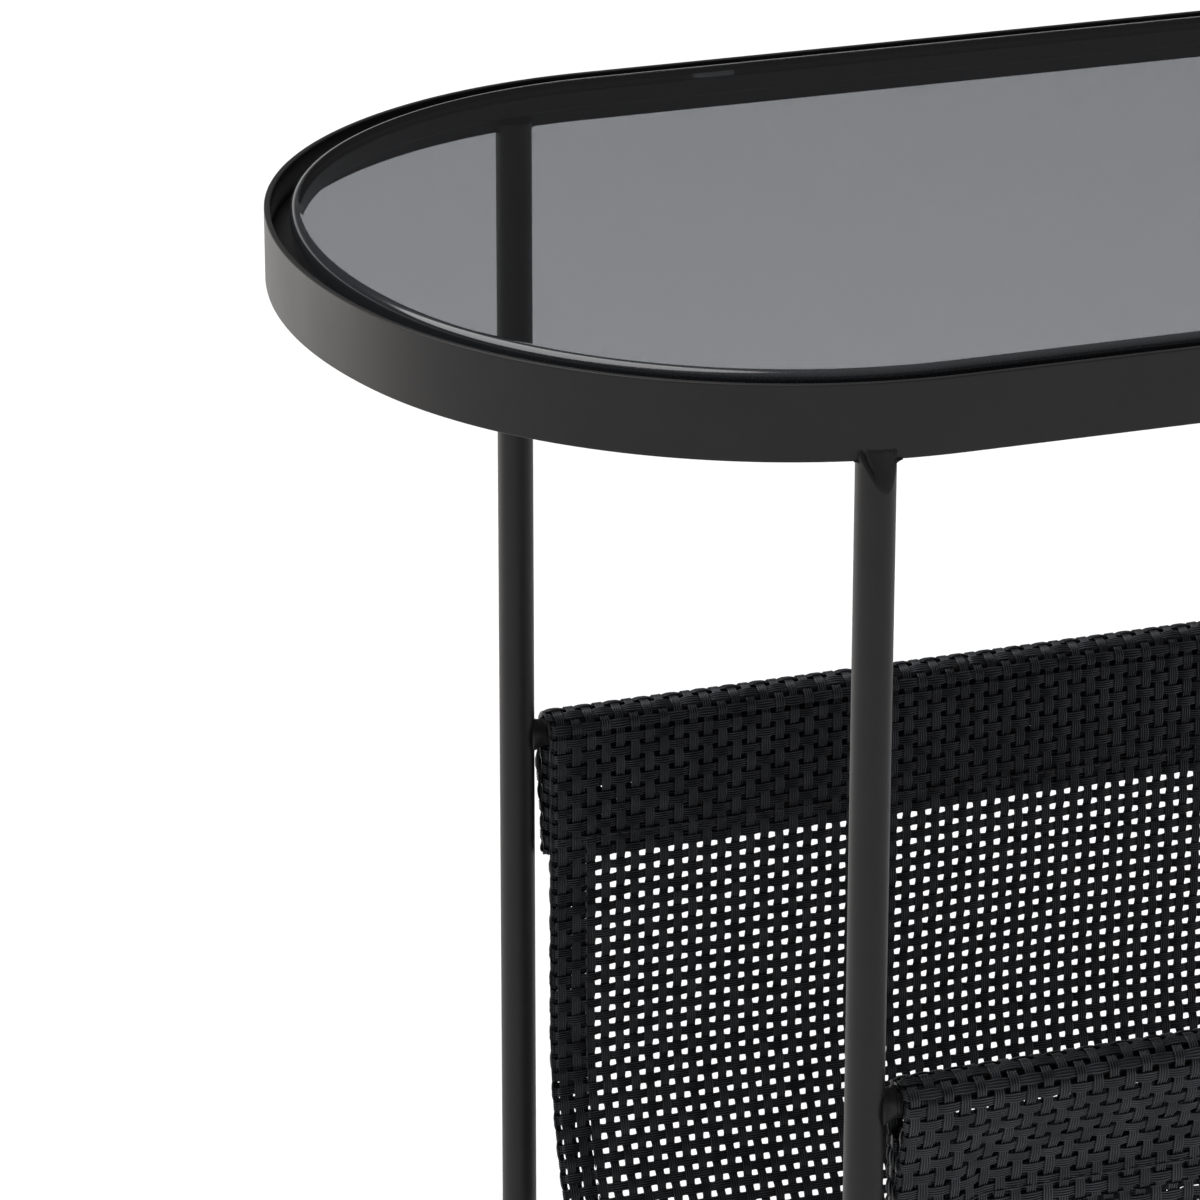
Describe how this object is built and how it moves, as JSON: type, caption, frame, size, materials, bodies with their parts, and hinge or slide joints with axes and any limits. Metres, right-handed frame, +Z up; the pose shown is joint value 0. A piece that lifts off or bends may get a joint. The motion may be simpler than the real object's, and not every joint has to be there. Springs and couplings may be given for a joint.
{
  "type": "side table with magazine sling",
  "caption": "Oval side table with a flat-bar rim, smoked glass top, slim tube legs and a woven mesh sling for magazines hung between the legs.",
  "frame": {"origin": "on the floor under the middle of the table", "axes": "+X along the long axis of the oval, +Y towards the rear long side, +Z up"},
  "size_m": [0.5, 0.286, 0.4809],
  "materials": {
    "powder_coat": "satin black powder coat",
    "smoked_glass": "smoked, polished edge",
    "mesh": "PVC-coated polyester basket weave",
    "thread": "bonded polyester thread",
    "glide_plastic": "moulded",
    "pad_silicone": "clear silicone"
  },
  "bodies": {
    "frame": {"rim_band": "powder_coat", "ledge_ring": "powder_coat", "glass_pads": "pad_silicone", "leg_front_left": "powder_coat", "leg_front_right": "powder_coat", "leg_rear_left": "powder_coat", "leg_rear_right": "powder_coat", "leg_welds": "powder_coat", "glide_front_left": "glide_plastic", "glide_front_right": "glide_plastic", "glide_rear_left": "glide_plastic", "glide_rear_right": "glide_plastic", "rod_front": "powder_coat", "rod_rear": "powder_coat", "rod_welds": "powder_coat", "sling_panel": "mesh", "sleeve_front": "mesh", "sleeve_rear": "mesh", "hem_left": "mesh", "hem_right": "mesh", "stitching": "thread"},
    "glass": {"glass_top": "smoked_glass"}
  },
  "joints": [
    {"name": "glass_lift", "type": "slide", "parent": "frame", "child": "glass", "axis": [0, 0, 1], "range_m": [0, 0.06]}
  ]
}
